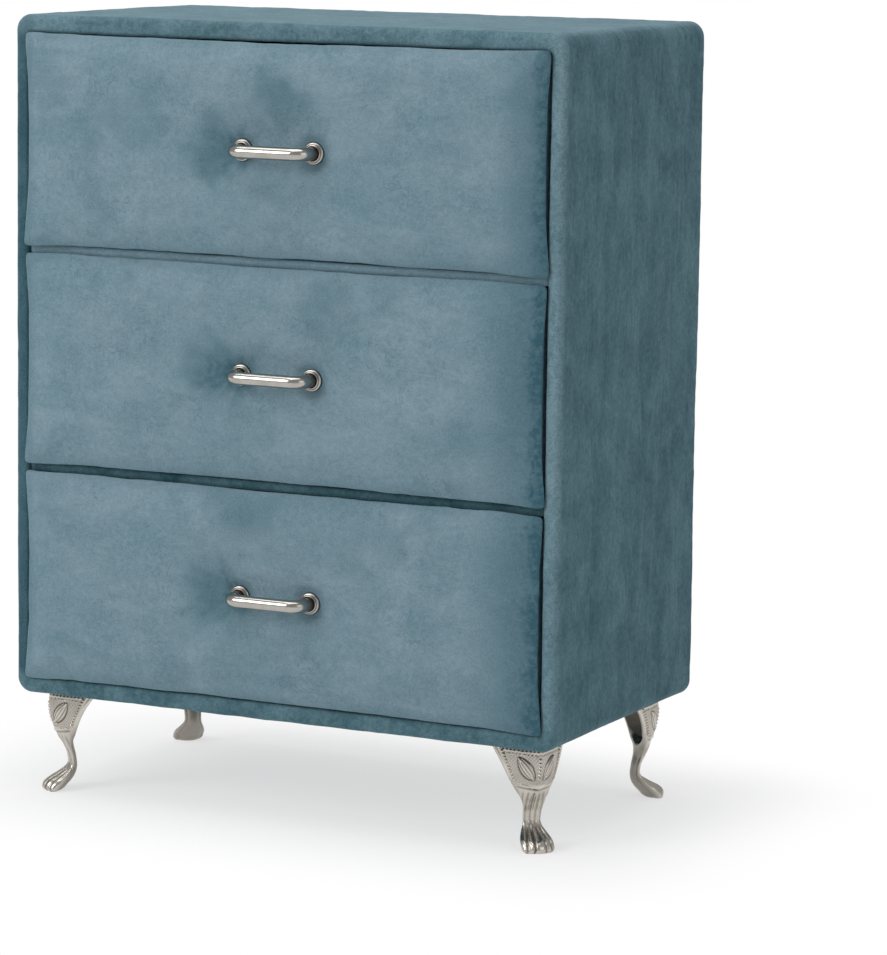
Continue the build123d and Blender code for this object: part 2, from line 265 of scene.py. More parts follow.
def colour(red, green, blue):
    """Colour from the 0 to 255 values of a screen."""
    linear = []
    for value in (red, green, blue):
        value /= 255
        linear.append(value / 12.92 if value <= 0.04045 else ((value + 0.055) / 1.055) ** 2.4)
    return (*linear, 1.0)


# Velvet: sizes of its marks in millimetres
STREAK_MM, TUFT_MM, PILE_MM, CREASE_MM, CREASED_MM = 9.0, 1.3, 0.42, 3.4, 12.0
CREASE_SHARE = 0.24
SHEEN_TINT = (0.56, 0.74, 0.82, 1.0)


def velvet(
    name, deep, pale, nap_and_shade_tone, raised_and_lit_tone, grain, patch_mm, streak, streak_turn=(0, 0, 0)
):
    """Short-pile velvet: uneven patches, streaks of nap, fine creases painted as darker lines of
    shade and a grain of pile.

    Painted values pull it towards a darker tone, for brushed nap and painted shade, and towards a
    paler tone, for raised nap and painted light.
    """
    nodes = Nodes(name)
    patches = nodes.noise(patch_mm, detail=4.0, roughness=0.55, distortion=0.5)
    patches = nodes.span(patches, 0.34, 0.68)
    streaks = nodes.noise(STREAK_MM, 5.0, 0.62, streak, streak_turn, distortion=0.8)
    streaks = nodes.span(streaks, 0.32, 0.70)
    tufts = nodes.noise(TUFT_MM, detail=3.0, roughness=0.62)
    pile = nodes.noise(PILE_MM, detail=2.0, roughness=0.7)
    clear_tufts = nodes.span(tufts, 0.30, 0.70)
    shares = ((patches, 0.36), (streaks, 0.32), (clear_tufts, 0.32))
    base = nodes.mix(nodes.weighted(*shares), deep, pale)

    # Fine creases: thin lines of painted shade in the creased patches
    winding = nodes.noise(CREASE_MM, detail=2.0, roughness=0.55, distortion=1.2)
    creases = nodes.math("ABSOLUTE", nodes.math("SUBTRACT", winding, 0.5))
    creases = nodes.span(creases, 0.0, 0.045, 1.0, 0.0)
    creased = nodes.span(nodes.noise(CREASED_MM), 0.48, 0.66, 0.0, CREASE_SHARE)
    base = nodes.mix(nodes.math("MULTIPLY", creases, creased), base, nap_and_shade_tone)

    uneven = nodes.math("ADD", tufts, nodes.math("MULTIPLY", streaks, 0.2))
    uneven = nodes.span(uneven, 0.40, 0.80, 0.72, 1.20)
    # Brushed nap and painted shade darken the velvet; raised nap and painted light make it paler
    for attribute, tone in (("nap_and_shade", nap_and_shade_tone), ("raised_and_lit", raised_and_lit_tone)):
        painted = nodes.math("MULTIPLY", nodes.painted(attribute), uneven)
        base = nodes.mix(nodes.math("MINIMUM", painted, 1.0), base, tone)

    shade = nodes.span(pile, 0.25, 0.75, 1 - grain, 1 + 0.9 * grain)
    grey = nodes.add("CombineColor", {"Red": shade, "Green": shade, "Blue": shade}).outputs[0]
    base = nodes.mix(1.0, base, grey, "MULTIPLY")
    nodes.set(Base_Color=base, Roughness=0.88, Specular_IOR_Level=0.12)
    nodes.set(Sheen_Weight=0.32, Sheen_Roughness=0.42, Sheen_Tint=SHEEN_TINT)
    nodes.bumps(((streaks, 0.35, 0.5), (tufts, 0.45, 0.28), (pile, 0.5, 0.12)))
    return nodes.material


# Plating: how far its haze shows, how bright it is and how much rougher haze and hollows are
HAZE_SHARE, HAZE_BRIGHTNESS, HAZE_ROUGHER, HOLLOW_ROUGHER = 0.35, 0.72, 0.10, 0.25


def plated_metal(name, bright, rough, dark=None):
    """Bright plating with faint haze and fine rubbed lines, dark where it is painted as hollow: in
    carved hollows, and as painted shade on the backs of the legs, the pull posts and the collar
    feet.
    """
    nodes = Nodes(name)
    haze = nodes.span(nodes.noise(3.5, detail=4.0, roughness=0.6), 0.35, 0.70)
    rubbed = nodes.noise(0.35, detail=3.0, roughness=0.6, scale=(1, 1, 0.15))
    hazed = tuple(HAZE_BRIGHTNESS * part for part in bright[:3]) + (1.0,)
    base = nodes.mix(nodes.math("MULTIPLY", haze, HAZE_SHARE), bright, hazed)
    roughness = nodes.span(haze, 0.0, 1.0, rough, rough + HAZE_ROUGHER)
    if dark:
        # Hollow tone: dark carved hollows, and painted shade on leg backs, pull posts and collar
        # feet
        hollow = nodes.painted("hollow")
        base = nodes.mix(hollow, base, dark)
        roughness = nodes.math("ADD", roughness, nodes.math("MULTIPLY", hollow, HOLLOW_ROUGHER))
    nodes.set(Base_Color=base, Metallic=1.0, Roughness=roughness)
    nodes.bumps(((haze, 0.10, 0.08), (rubbed, 0.05, 0.03)))
    return nodes.material


def fibreboard(name, dark, light):
    """Pressed fibreboard: fine flecks, fibres and slightly uneven sanding."""
    nodes = Nodes(name)
    clouds = nodes.noise(14.0, detail=3.0, roughness=0.55)
    fibres = nodes.noise(0.9, detail=4.0, roughness=0.7, scale=(0.25, 1, 1))
    fibres = nodes.span(fibres, 0.30, 0.72)
    flecks = nodes.span(nodes.noise(0.35, detail=2.0, roughness=0.6), 0.30, 0.78)
    shares = ((clouds, 0.4), (fibres, 0.35), (flecks, 0.25))
    base = nodes.mix(nodes.weighted(*shares), dark, light)
    nodes.set(Base_Color=base, Specular_IOR_Level=0.25)
    nodes.set(Roughness=nodes.span(fibres, 0.0, 1.0, 0.68, 0.86))
    nodes.bumps(((fibres, 0.25, 0.06), (flecks, 0.35, 0.04)))
    return nodes.material


# The front velvet is a paler, greyer copy of the case velvet: partly its nap, partly painted sheen
# on the fronts
front_velvet = velvet(
    "front_velvet",
    deep=colour(100, 128, 139),
    pale=colour(129, 151, 162),
    nap_and_shade_tone=colour(54, 91, 104),
    raised_and_lit_tone=colour(128, 158, 171),
    grain=0.12,
    patch_mm=15.0,
    streak=(0.45, 1, 1.3),
    streak_turn=(0, 0.5, 0),
)
case_velvet = velvet(
    "case_velvet",
    deep=colour(40, 77, 88),
    pale=colour(90, 123, 133),
    nap_and_shade_tone=colour(34, 66, 78),
    raised_and_lit_tone=colour(114, 140, 150),
    grain=0.20,
    patch_mm=10.0,
    streak=(1, 1, 0.30),
)
lining_velvet = velvet(
    "lining_velvet",
    deep=colour(38, 70, 82),
    pale=colour(76, 108, 120),
    nap_and_shade_tone=colour(28, 56, 66),
    raised_and_lit_tone=colour(100, 128, 138),
    grain=0.16,
    patch_mm=14.0,
    streak=(1, 0.5, 1),
)
leg_metal = plated_metal("leg_metal", colour(204, 198, 188), 0.20, dark=colour(62, 57, 52))
pull_metal = plated_metal("pull_metal", colour(180, 176, 170), 0.15, dark=colour(50, 47, 44))
screw_steel = plated_metal("screw_steel", colour(176, 176, 174), 0.30)
case_board = fibreboard("case_board", colour(112, 84, 58), colour(168, 136, 100))
drawer_board = fibreboard("drawer_board", colour(36, 48, 54), colour(60, 74, 80))


def dress(obj, material, body, slot, *nodes):
    """Gives a piece its material and body, and hides the nodes that it stands for; its slot is not
    used.
    """
    obj.data.materials.clear()
    obj.data.materials.append(material)
    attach(obj, body)
    if nodes:
        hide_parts(*nodes)


# Velvet of the case: one closed shell round the boards, over their front edges and into the mouth
CORNER_STEPS = 10
WIDTH_STEPS = 170
HEIGHT_STEPS = 194
TURN_IN_ROWS, MOUTH_ARC_ROWS, FRONT_ARC_ROWS, DEPTH_ROWS, BACK_ARC_ROWS = 10, 7, 8, 66, 5
CORNER_RADIUS = 3.8
FRONT_ROUND = 1.6
MOUTH_ROUND = 1.1
MOUTH_CORNER = 0.9
BACK_ROUND = 0.6
BACK_SEAM = 0.05
TURN_IN = 12.0
BACKING = 0.68
TUCKED = (0, 0.4, 0.8)  # how loose the first rows in the mouth are
WRAP_WAVES = ((0.10, 26.0, 1), (0.07, 6.0, 2), (0.05, 2.0, 3))
WANDER_WAVES = ((0.25, 14.0, 8), (0.15, 4.0, 9))
# Painted tones: the left stile darker and the right stile paler, and painted light on the rails and
# the top face
STILE_SPAN, BOTTOM_RAIL_SPAN, TOP_RAIL_SPAN = (66, 69), (29, 32), (184, 187)
LEFT_STILE_TONE, RIGHT_STILE_TONE = 0.42, 0.68
BOTTOM_RAIL_TONE, TOP_RAIL_TONE, TOP_FACE_TONE = 0.19, 0.34, 0.35


def rounded_loop(half_width, bottom, top, radius):
    """Points round a rounded rectangle, always the same number of them."""
    side, low, high = half_width - radius, bottom + radius, top - radius
    arcs = []
    for x, z, turn in ((side, low, -90), (side, high, 0), (-side, high, 90), (-side, low, 180)):
        angles = np.radians(turn + np.linspace(0, 90, CORNER_STEPS + 1))
        arcs.append(np.stack((x + radius * np.cos(angles), z + radius * np.sin(angles)), axis=1))
    points = []
    for number, arc in enumerate(arcs):
        steps = WIDTH_STEPS if number % 2 else HEIGHT_STEPS
        run = arcs[(number + 1) % 4][0] - arc[-1]
        points += [arc, arc[-1] + run * np.linspace(0, 1, steps + 1)[1:-1, None]]
    return np.concatenate(points)


def case_loop(inset):
    """Outline of the case, moved inwards."""
    bottom, top = wrap_low[2] + inset, wrap_high[2] - inset
    return rounded_loop(wrap_high[0] - inset, bottom, top, CORNER_RADIUS - inset)


def mouth_loop(outset):
    """Outline of the mouth, moved outwards."""
    edge = VELVET - outset
    bottom, top = inner_bottom + edge, inner_top - edge
    return rounded_loop(inner_x - edge, bottom, top, MOUTH_CORNER + outset)


def quarter(count):
    """Shares 1 - cos and 1 - sin at angles from 0 to 90 degrees."""
    angles = np.radians(np.linspace(0, 90, count))
    return list(zip(1 - np.cos(angles), 1 - np.sin(angles)))


turn_end = board_front + TURN_IN
back_edge = board_back + BACK_SEAM
in_mouth = np.linspace(turn_end, case_front + MOUTH_ROUND, TURN_IN_ROWS)
wrap_rows = [(mouth_loop(0), y) for y in in_mouth]
for outwards, inwards in quarter(MOUTH_ARC_ROWS)[1:]:
    wrap_rows.append((mouth_loop(MOUTH_ROUND * outwards), case_front + MOUTH_ROUND * inwards))
wrap_rows.append(((mouth_loop(MOUTH_ROUND) + case_loop(FRONT_ROUND)) / 2, case_front))
for backwards, inwards in quarter(FRONT_ARC_ROWS):
    wrap_rows.append((case_loop(FRONT_ROUND * inwards), case_front + FRONT_ROUND * backwards))
along_case = np.linspace(case_front + FRONT_ROUND, back_edge, DEPTH_ROWS)
wrap_rows += [(case_loop(0), y) for y in along_case[1:]]
for inwards, short in quarter(BACK_ARC_ROWS)[1:]:
    wrap_rows.append((case_loop(BACK_ROUND * inwards), back_edge + BACK_ROUND * (1 - short)))
pile_rows = len(wrap_rows)
wrap_rows.append((case_loop(BACKING), back_edge))
wrap_rows.append((case_loop(BACKING), case_front + BACKING))
wrap_rows.append((mouth_loop(BACKING), case_front + BACKING))
wrap_rows.append((mouth_loop(BACKING), turn_end))

wrap_points = np.concatenate([np.insert(loop, 1, y, axis=1) for loop, y in wrap_rows])
loop_size = len(wrap_rows[0][0])
wrap = add_mesh("case_velvet", wrap_points, grid_faces(len(wrap_rows), loop_size, True, True))
loose = np.ones(len(wrap_rows))
loose[pile_rows - 1 :] = 0
loose[: len(TUCKED)] = TUCKED
push(wrap, np.repeat(loose, loop_size) * waves(wrap_points, WRAP_WAVES))

wrap_x, wrap_y, wrap_z = wrap_points.T
wander = 1 + waves(wrap_points, WANDER_WAVES)
on_front = 1 - ramp(wrap_y, case_front + 0.5, case_front + 2.5)
left_stile = on_front * ramp(-wrap_x, *STILE_SPAN)
right_stile = on_front * ramp(wrap_x, *STILE_SPAN)
bottom_rail = on_front * (1 - ramp(wrap_z, *BOTTOM_RAIL_SPAN))
top_rail = on_front * ramp(wrap_z, *TOP_RAIL_SPAN)
top_face = ramp(wrap_z, wrap_high[2] - 1.2, wrap_high[2] - 0.4)
# Painted tones: left stile darker, right stile paler, painted light on the rails and the top face
paint(wrap, "nap_and_shade", wander * LEFT_STILE_TONE * left_stile * (1 - bottom_rail))
lit_parts = (
    RIGHT_STILE_TONE * right_stile * (1 - bottom_rail),
    BOTTOM_RAIL_TONE * bottom_rail,
    TOP_RAIL_TONE * top_rail,
    TOP_FACE_TONE * top_face,
)
paint(wrap, "raised_and_lit", wander * np.maximum.reduce(lit_parts))
dress(wrap, case_velvet, "case", "velvet", "case_wrap")


# Cushion-like panels: a grid in front, rings behind its rim


def outline(half_width, half_height, radius, draw_in, steps):
    """Points round a panel with rounded corners and its long and short sides drawn in."""

    def edge(half_run, half_other, count, bow):
        along = np.linspace(-half_run, half_run, count + 1)
        bend = np.clip((np.abs(along) - half_run + radius) / radius, 0, 1) * math.pi / 4
        on_arc = np.sign(along) * (half_run - radius + radius * np.sin(bend))
        across = -half_other + radius * (1 - np.cos(bend)) + bow * (1 - (along / half_run) ** 2)
        return np.stack((np.where(bend > 0, on_arc, along), across), axis=1)

    long_edge = edge(half_width, half_height, steps[0], draw_in[0])
    short_edge = edge(half_height, half_width, steps[1], draw_in[1])
    right_edge = np.stack((-short_edge[:, 1], short_edge[:, 0]), axis=1)
    return np.concatenate((long_edge[:-1], right_edge[:-1], -long_edge[:-1], -right_edge[:-1]))


def fill_grid(ring, steps):
    """Rows of points that fill a ring made by outline()."""
    wide, tall = steps
    closed = np.concatenate((ring, ring[:1]))
    bottom, right = closed[: wide + 1], closed[wide : wide + tall + 1]
    top = closed[wide + tall : 2 * wide + tall + 1][::-1]
    left = closed[2 * wide + tall :][::-1]
    u = np.linspace(0, 1, wide + 1)[None, :, None]
    v = np.linspace(0, 1, tall + 1)[:, None, None]
    ruled = (1 - v) * bottom[None] + v * top[None] + (1 - u) * left[:, None] + u * right[:, None]
    corners = (1 - u) * (1 - v) * bottom[0] + u * (1 - v) * bottom[-1]
    corners = corners + (1 - u) * v * top[0] + u * v * top[-1]
    return (ruled - corners).reshape(-1, 2)


def rim_numbers(steps):
    """Numbers of the grid's rim points, in the order of outline()."""
    wide, tall = steps
    grid = np.arange((wide + 1) * (tall + 1)).reshape(tall + 1, wide + 1)
    return np.concatenate((grid[0, :-1], grid[:-1, -1], grid[-1, :0:-1], grid[:0:-1, 0]))


def panel_faces(steps, rings):
    """Faces of a grid with this many rings of points behind its rim."""
    wide, tall = steps
    faces = [grid_faces(tall + 1, wide + 1)]
    before = rim_numbers(steps)
    start = (wide + 1) * (tall + 1)
    for number in range(rings):
        after = start + number * len(before) + np.arange(len(before))
        faces.append(np.stack((before, np.roll(before, -1), np.roll(after, -1), after), axis=1))
        before = after
    return np.concatenate(faces)


def panel_points(half_width, half_height, draw_in, steps, rings):
    """Points (across, up, depth) of a panel.

    Each ring is (outset, depth, corner radius), and the first one is the rim of the grid.
    """
    points = []
    for number, (outset, depth, radius) in enumerate(rings):
        ring = outline(half_width + outset, half_height + outset, radius, draw_in, steps)
        flat = fill_grid(ring, steps) if number == 0 else ring
        points.append(np.insert(flat, 2, depth, axis=1))
    return np.concatenate(points)


# Velvet on the back of the case
BACK_STEPS = (96, 110)
BACK_EDGE = 0.9
BACK_SUNK = 0.08
BACK_RINGS = (
    (-1.8, 0.0, 2.0), (-1.3, 0.06, 2.5), (-1.0, 0.24, 2.8),
    (-BACK_EDGE, 0.5, 2.9), (-BACK_EDGE, 0.69, 2.9),
)
BACK_WAVES = ((0.05, 9.0, 4), (0.03, 2.5, 5))
BACK_STILL = 0.4  # depth behind which the velvet lies still
back_half = (wrap_high[2] - wrap_low[2]) / 2
back_middle = (wrap_low[2] + wrap_high[2]) / 2
back_points = panel_points(wrap_high[0], back_half, (0, 0), BACK_STEPS, BACK_RINGS)
back_x, back_up, back_depth = back_points.T
back_places = np.stack((back_x, case_back - BACK_SUNK - back_depth, back_up + back_middle), axis=1)
back = add_mesh("back_velvet", back_places, panel_faces(BACK_STEPS, len(BACK_RINGS) - 1))
push(back, np.where(back_depth > BACK_STILL, 0, waves(back_places, BACK_WAVES)))
turn_outwards(back.data, close=True)
dress(back, case_velvet, "case", "velvet", "back_cover")

# Velvet strips on the dividers
STRIP_STEPS = 180
STRIP_NOSE = 0.5
STRIP_NOSE_STEPS = 13
STRIP_FOLD = 5  # from the rear edge to the next row of points
STRIP_END = 0.3  # length at both ends that lies still
STRIP_WAVES = ((0.06, 7.0, 6), (0.04, 1.8, 7))
STRIP_SINK = 0.04
# Painted light on the upper strip against the shade it lies in, and the darker case velvet on the
# lower strip as painted shade
STRIP_TONES = {"upper": (front_velvet, "raised_and_lit", 0.9), "lower": (case_velvet, "nap_and_shade", 0.05)}
STRIP_TONE_WAVE = 0.2
for level in ("upper", "lower"):
    low, high = node_box(f"{level}_divider_wrap")
    middle = (low[2] + high[2]) / 2
    half = (high[2] - low[2]) / 2
    nose, fold, lined = low[1] + STRIP_NOSE, high[1] - STRIP_FOLD, low[1] + BACKING
    profile = [(high[1], half), (fold, half), (nose, half)]
    for angle in np.radians(np.linspace(90, -90, STRIP_NOSE_STEPS)[1:-1]):
        profile.append((low[1] + STRIP_NOSE * (1 - np.cos(angle)), half * np.sin(angle)))
    profile += [(nose, -half), (fold, -half), (high[1], -half)]
    outer_count = len(profile)
    inside = half - BACKING
    profile += [(high[1], -inside), (lined, -inside), (lined, inside), (high[1], inside)]
    rows = []
    for x in np.linspace(low[0], high[0], STRIP_STEPS + 1):
        rows.append([(x, y, middle + z) for y, z in profile])
    strip_points = np.array(rows).reshape(-1, 3)
    faces = list(grid_faces(STRIP_STEPS + 1, len(profile), False, True))
    faces += end_faces(STRIP_STEPS + 1, len(profile))
    strip = add_mesh(f"{level}_divider_velvet", strip_points, faces)
    soft = np.tile(np.arange(len(profile)) < outer_count, STRIP_STEPS + 1)
    soft &= strip_points[:, 0] > low[0] + STRIP_END
    soft &= strip_points[:, 0] < high[0] - STRIP_END
    push(strip, soft * (waves(strip_points, STRIP_WAVES) - STRIP_SINK))
    # Painted light on the upper strip, painted shade on the lower one
    cloth, attribute, share = STRIP_TONES[level]
    paint(strip, attribute, share + STRIP_TONE_WAVE * smooth_noise(strip_points, 9.0, 10))
    dress(strip, cloth, "case", "velvet", f"{level}_divider_wrap")

# Padded fronts, blown up as cloth that the rim and the pull hold down
PAD_STEPS = (96, 36)
PAD_CORNER = 1.5
DRAW_IN = (0.35, 0.40)
POST_X = 9.4
TUFT_PROUD = 1.0
SEAT_RADIUS = 3.1
RIM_PROUD = 1.45
CROWN_PROUD = 2.95
PLATEAU = 2.2
PAD_RINGS = (
    (-1.8, -RIM_PROUD, 0.3), (-0.7, -1.2, 0.6), (0.25, -0.85, 0.8), (0.62, -0.5, 0.9),
    (0.35, -0.12, 1.1), (-0.05, 0.5, PAD_CORNER), (-0.05, 2.7, PAD_CORNER),
    (-0.05, 4.7, PAD_CORNER),
)
HELD_RINGS = 3
LIP = 0.67
LIP_RINGS = 3
LIP_SEAM = 0.05
PAD_LEVELS = 2
# Simulation
SIM_SCALE = 0.01
SIM_FRAMES = 20
PRESSURE, PRESSURE_STEP = 5.0, 0.4
MOST_SIDEWAYS = 0.2
SMOOTHING = 3
# Corners that stick out, and rims that lean over the gaps in front of the case
EAR_REACH, LOW_EAR, HIGH_EAR, EAR_UP = 14, 0.85, 0.45, 0.55
RIM_WAVES = ((0.16, 11.0, 120), (0.08, 4.0, 130))
LEAN_REACH, END_LEAN, BOTTOM_LEAN, CORNER_LEAN = 3, 0.30, 0.12, 0.35
TOP_LEAN = {"top": 0.35, "middle": 0.95, "bottom": 0.95}
# Nap and pucker
NAP_WAVES = ((0.12, 12.0, 30), (0.07, 4.0, 40), (0.035, 1.1, 50))
SOFT_DEPTH = 1.5
PUCKER, PUCKER_FOLDS = 0.10, 9
# Painted shade and brushed nap: painted shade at the ends, on the rims and round the posts, a
# smudge (across, up, share) on each pad, partly nap and partly painted shadow from the edge above,
# and nap marks beside the pulls
NAP_WANDER = ((0.30, 5.0, 80), (0.2, 2.2, 90))
RIGHT_END = {"top": (0.50, 15), "middle": (0.58, 20), "bottom": (0.58, 20)}
RIGHT_RIM = 0.40
LEFT_RIM, LOW_RIM, HIGH_RIM = 0.28, 0.20, 0.12
SMUDGES = {"top": (1, 12, 0.6), "middle": (14, 17, 0.42), "bottom": (-6, 19, 0.36)}
SMUDGE_SIZE = (9.5, 7)
BESIDE_PULL, BESIDE_UP, BESIDE_SIZE, BESIDE_SHARE = 16.0, 0.5, 9.5, 0.85
PATCH_WAVE = 0.28
MARK_SHARE = 0.8


def swollen(points, faces, held, pressure, seed):
    """Places of the points after cloth with these held points has been blown up."""
    mesh = bpy.data.meshes.new("blown_cloth")
    uneven = [0.02 * smooth_noise(points, 9.0, seed + n) for n in range(3)]
    start = points + np.stack(uneven, axis=1)
    mesh.from_pydata((start * SIM_SCALE).tolist(), [], faces.tolist())
    obj = add_object("blown_cloth", mesh)
    group = obj.vertex_groups.new(name="held")
    group.add([int(n) for n in np.flatnonzero(held)], 1.0, "REPLACE")
    cloth = obj.modifiers.new("cloth", "CLOTH")
    settings = cloth.settings
    settings.quality = 6
    settings.mass = 0.25
    settings.tension_stiffness = settings.compression_stiffness = 20
    settings.shear_stiffness = 8
    settings.bending_stiffness = 0.6
    settings.tension_damping = settings.compression_damping = 15
    settings.air_damping = 4
    settings.vertex_group_mass = "held"
    settings.use_pressure = True
    settings.uniform_pressure_force = pressure
    settings.effector_weights.gravity = 0
    cloth.collision_settings.use_collision = False
    cloth.point_cache.frame_start, cloth.point_cache.frame_end = 1, SIM_FRAMES
    scene = bpy.context.scene
    for number in range(1, SIM_FRAMES + 1):
        scene.frame_set(number)
    shape = obj.evaluated_get(bpy.context.evaluated_depsgraph_get())
    values = np.empty(3 * len(points))
    shape.data.vertices.foreach_get("co", values)
    bpy.data.objects.remove(obj)
    bpy.data.meshes.remove(mesh)
    scene.frame_set(1)
    return values.reshape(-1, 3) / SIM_SCALE


def smoothed(values, faces, fixed, rounds):
    """Values averaged with those of the neighbouring points."""
    a = np.concatenate([faces[:, n] for n in range(4)])
    b = np.concatenate([faces[:, (n + 1) % 4] for n in range(4)])
    count = np.bincount(a, minlength=len(values)) + np.bincount(b, minlength=len(values))
    for _ in range(rounds):
        near = np.bincount(a, values[b], len(values)) + np.bincount(b, values[a], len(values))
        values = np.where(fixed, values, 0.5 * values + 0.5 * near / count)
    return values


def subdivided(obj, levels):
    """Replaces the object's mesh by its smooth subdivision."""
    modifier = obj.modifiers.new("smooth", "SUBSURF")
    modifier.levels = levels
    shape = obj.evaluated_get(bpy.context.evaluated_depsgraph_get())
    mesh = bpy.data.meshes.new_from_object(shape)
    obj.modifiers.clear()
    old = obj.data
    obj.data = mesh
    bpy.data.meshes.remove(old)


def pad_places(drawer, seed, half_width, half_height):
    """Points (across, -proud, up) of a pad's front and sides, from the middle of its rim."""
    flat = panel_points(half_width, half_height, DRAW_IN, PAD_STEPS, PAD_RINGS)
    faces = panel_faces(PAD_STEPS, len(PAD_RINGS) - 1)
    post_distance = np.hypot(np.abs(flat[:, 0]) - POST_X, flat[:, 1])
    front = np.arange(len(flat)) < (PAD_STEPS[0] + 1) * (PAD_STEPS[1] + 1)
    seat = front & (post_distance < SEAT_RADIUS)
    flat[seat, 2] = -TUFT_PROUD
    rim_size = 2 * sum(PAD_STEPS)
    held = seat | (np.arange(len(flat)) >= len(flat) - HELD_RINGS * rim_size)
    start = np.stack((flat[:, 0], flat[:, 2], flat[:, 1]), axis=1)
    pressure = PRESSURE + PRESSURE_STEP * seed
    blown = swollen(start, faces, held, pressure, 11 + 3 * seed)
    rise = np.where(held, 0, start[:, 1] - blown[:, 1])
    rise = np.clip(rise / np.percentile(rise[front], 98), 0, 1.1)
    sideways = (blown - start)[:, [0, 2]]
    moved = np.maximum(np.hypot(*sideways.T), 0.01)
    sideways *= np.minimum(1, MOST_SIDEWAYS / moved)[:, None]
    sideways[seat] = 0
    rise = (1 - np.exp(-PLATEAU * rise)) / (1 - np.exp(-PLATEAU))
    proud = -flat[:, 2] + rise * (CROWN_PROUD - RIM_PROUD)
    proud = smoothed(proud, faces, held, SMOOTHING)

    from_middle, from_level = np.abs(flat[:, 0]), np.abs(flat[:, 1])
    low_half = flat[:, 1] < 0
    in_front = ramp(proud, 0.1, 0.5)
    near_end = ramp(from_middle, half_width - EAR_REACH, half_width)
    near_edge = ramp(from_level, half_height - EAR_REACH, half_height)
    ear = near_end * near_edge * in_front * np.where(low_half, LOW_EAR, HIGH_EAR)
    lean_end = END_LEAN * in_front * ramp(from_middle, half_width - LEAN_REACH, half_width)
    corner = ramp(from_middle, half_width - 12, half_width - 2)
    top_lean = TOP_LEAN[drawer] + (CORNER_LEAN - TOP_LEAN[drawer]) * corner
    lean_edge = in_front * ramp(from_level, half_height - LEAN_REACH, half_height)
    lean_edge *= np.where(low_half, BOTTOM_LEAN, top_lean) + waves(start, RIM_WAVES, seed)
    across = flat[:, 0] + sideways[:, 0] + (ear + lean_end) * np.sign(flat[:, 0])
    up = flat[:, 1] + sideways[:, 1] + (EAR_UP * ear + lean_edge) * np.sign(flat[:, 1])
    return np.stack((across, -proud, up), axis=1)


def nap_and_shade_marks(drawer, seed, fine, middle, half_width, half_height, post_distance):
    """How dark each point of a pad is painted: brushed nap in marks and patches, and painted shade
    at its ends, rims and posts.
    """
    across, up = fine[:, 0], fine[:, 2] - middle
    wander = waves(fine, NAP_WANDER, seed)
    from_end = half_width - across - 3 * wander
    # Painted shade at the right end, where the pad turns away from the light, and along the rims
    share, reach = RIGHT_END[drawer]
    right_end = share * (1 - ramp(from_end, 2, reach)) + RIGHT_RIM * (1 - ramp(from_end, 0, 4))
    left_end = LEFT_RIM * ramp(-across, half_width - 3, half_width)
    low_edge = LOW_RIM * ramp(-up, half_height - 3, half_height)
    high_edge = HIGH_RIM * ramp(up, half_height - 2, half_height)

    spin, apart = np.arctan2(up, across + POST_X), np.hypot(up, across + POST_X)
    rays = (6 * np.cos(spin), 6 * np.sin(spin), 0.25 * apart)
    strokes = 0.24 * smooth_noise(np.stack(rays, axis=1), 1.0, 110 + seed) + 0.6 * wander
    beside = np.hypot((across + BESIDE_PULL) / BESIDE_SIZE, (up - BESIDE_UP) / BESIDE_SIZE)
    marks = BESIDE_SHARE * (1 - ramp(beside + strokes, 0.0, 1.35))
    # Smudge, partly brushed nap and partly painted shadow from the edge above
    smudge_x, smudge_up, smudge = SMUDGES[drawer]
    above = np.hypot((across - smudge_x) / SMUDGE_SIZE[0], (up - smudge_up) / SMUDGE_SIZE[1])
    marks += smudge * (1 - ramp(above + 1.6 * wander, 0.1, 1.25))
    # Painted shadow in a ring round each post
    marks += 0.35 * bump(post_distance - 3.4, 1.0)
    marks += PATCH_WAVE * ramp(smooth_noise(fine, 17.0, 100 + seed) + 1.2 * wander, 0.35, 1.0)
    return np.maximum.reduce((MARK_SHARE * marks, right_end, left_end, low_edge, high_edge))


for seed, drawer in enumerate(DRAWERS):
    body = f"{drawer}_drawer"
    low, high = node_box(f"{body}_front_cover")
    half_width, half_height = (high[0] - low[0]) / 2, (high[2] - low[2]) / 2
    middle = (low[2] + high[2]) / 2
    places = pad_places(drawer, seed, half_width, half_height) + (0, case_front, middle)
    lip_size = (half_width - LIP, half_height - LIP, PAD_CORNER - LIP)
    lip_ring = outline(*lip_size, DRAW_IN, PAD_STEPS) + (0, middle)
    lip_front = node_box(f"{body}_front_board")[0][1] - LIP_SEAM
    for y in np.linspace(high[1], lip_front, LIP_RINGS):
        places = np.concatenate((places, np.insert(lip_ring, 1, y, axis=1)))
    faces = panel_faces(PAD_STEPS, len(PAD_RINGS) - 1 + LIP_RINGS)
    pad = add_mesh(f"{body}_padding", places, faces)
    subdivided(pad, PAD_LEVELS)
    fine = mesh_points(pad.data)
    from_post, from_level = np.abs(fine[:, 0]) - POST_X, fine[:, 2] - middle
    post_distance = np.hypot(from_post, from_level)
    soft = ramp(case_front + SOFT_DEPTH - fine[:, 1], 0, SOFT_DEPTH)
    soft *= ramp(post_distance, SEAT_RADIUS, SEAT_RADIUS + 2)
    folds = PUCKER_FOLDS * np.arctan2(from_level, from_post) + seed + np.sign(fine[:, 0])
    pucker = PUCKER * np.cos(folds) * bump(post_distance - 5.0, 2.2)
    push(pad, soft * (waves(fine, NAP_WAVES, seed) + pucker))
    # Brushed nap and painted shade on the pad
    nap_and_shade = nap_and_shade_marks(drawer, seed, fine, middle, half_width, half_height, post_distance)
    paint(pad, "nap_and_shade", nap_and_shade)
    turn_outwards(pad.data, close=True)
    dress(pad, front_velvet, body, "velvet", f"{body}_front_cover", f"{body}_front_pad")

